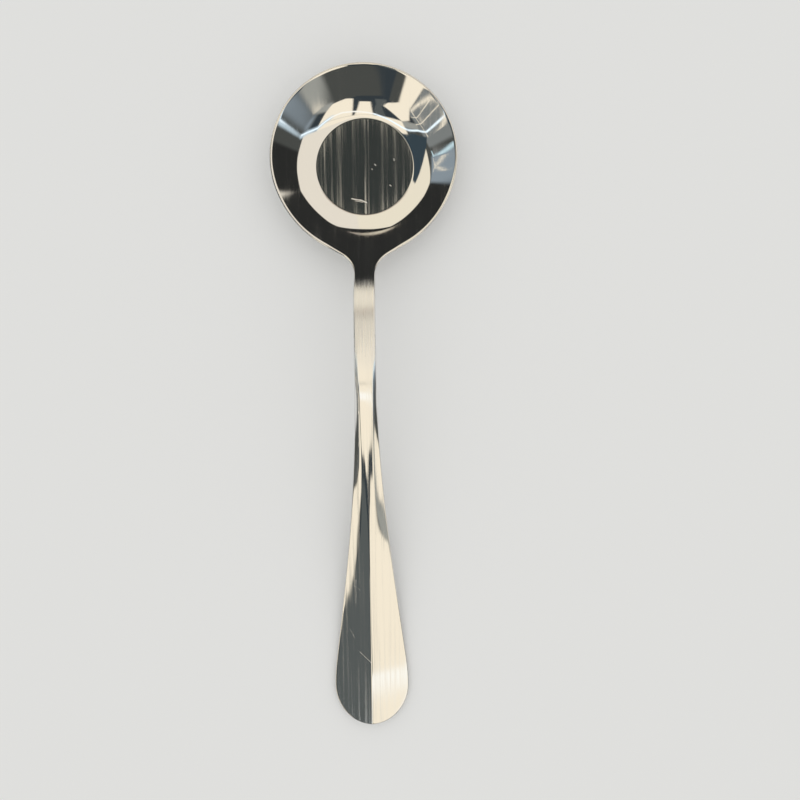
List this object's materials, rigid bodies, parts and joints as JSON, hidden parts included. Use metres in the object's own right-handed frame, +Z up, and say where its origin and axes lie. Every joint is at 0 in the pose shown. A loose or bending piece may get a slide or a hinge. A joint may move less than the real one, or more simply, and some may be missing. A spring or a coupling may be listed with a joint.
{
  "type": "flat bottom spoon",
  "caption": "Polished steel table spoon with a round flat-bottomed bowl, a slim arched neck and a ridged, rounded handle.",
  "frame": {"origin": "centre of the flat underside of the bowl", "axes": "+Z up out of the open bowl, +Y towards the tip of the bowl, handle along -Y, +X across"},
  "size_m": [0.0494, 0.175, 0.0184],
  "materials": {
    "steel": "polished"
  },
  "bodies": {
    "root": {"spoon": "steel"}
  },
  "joints": []
}
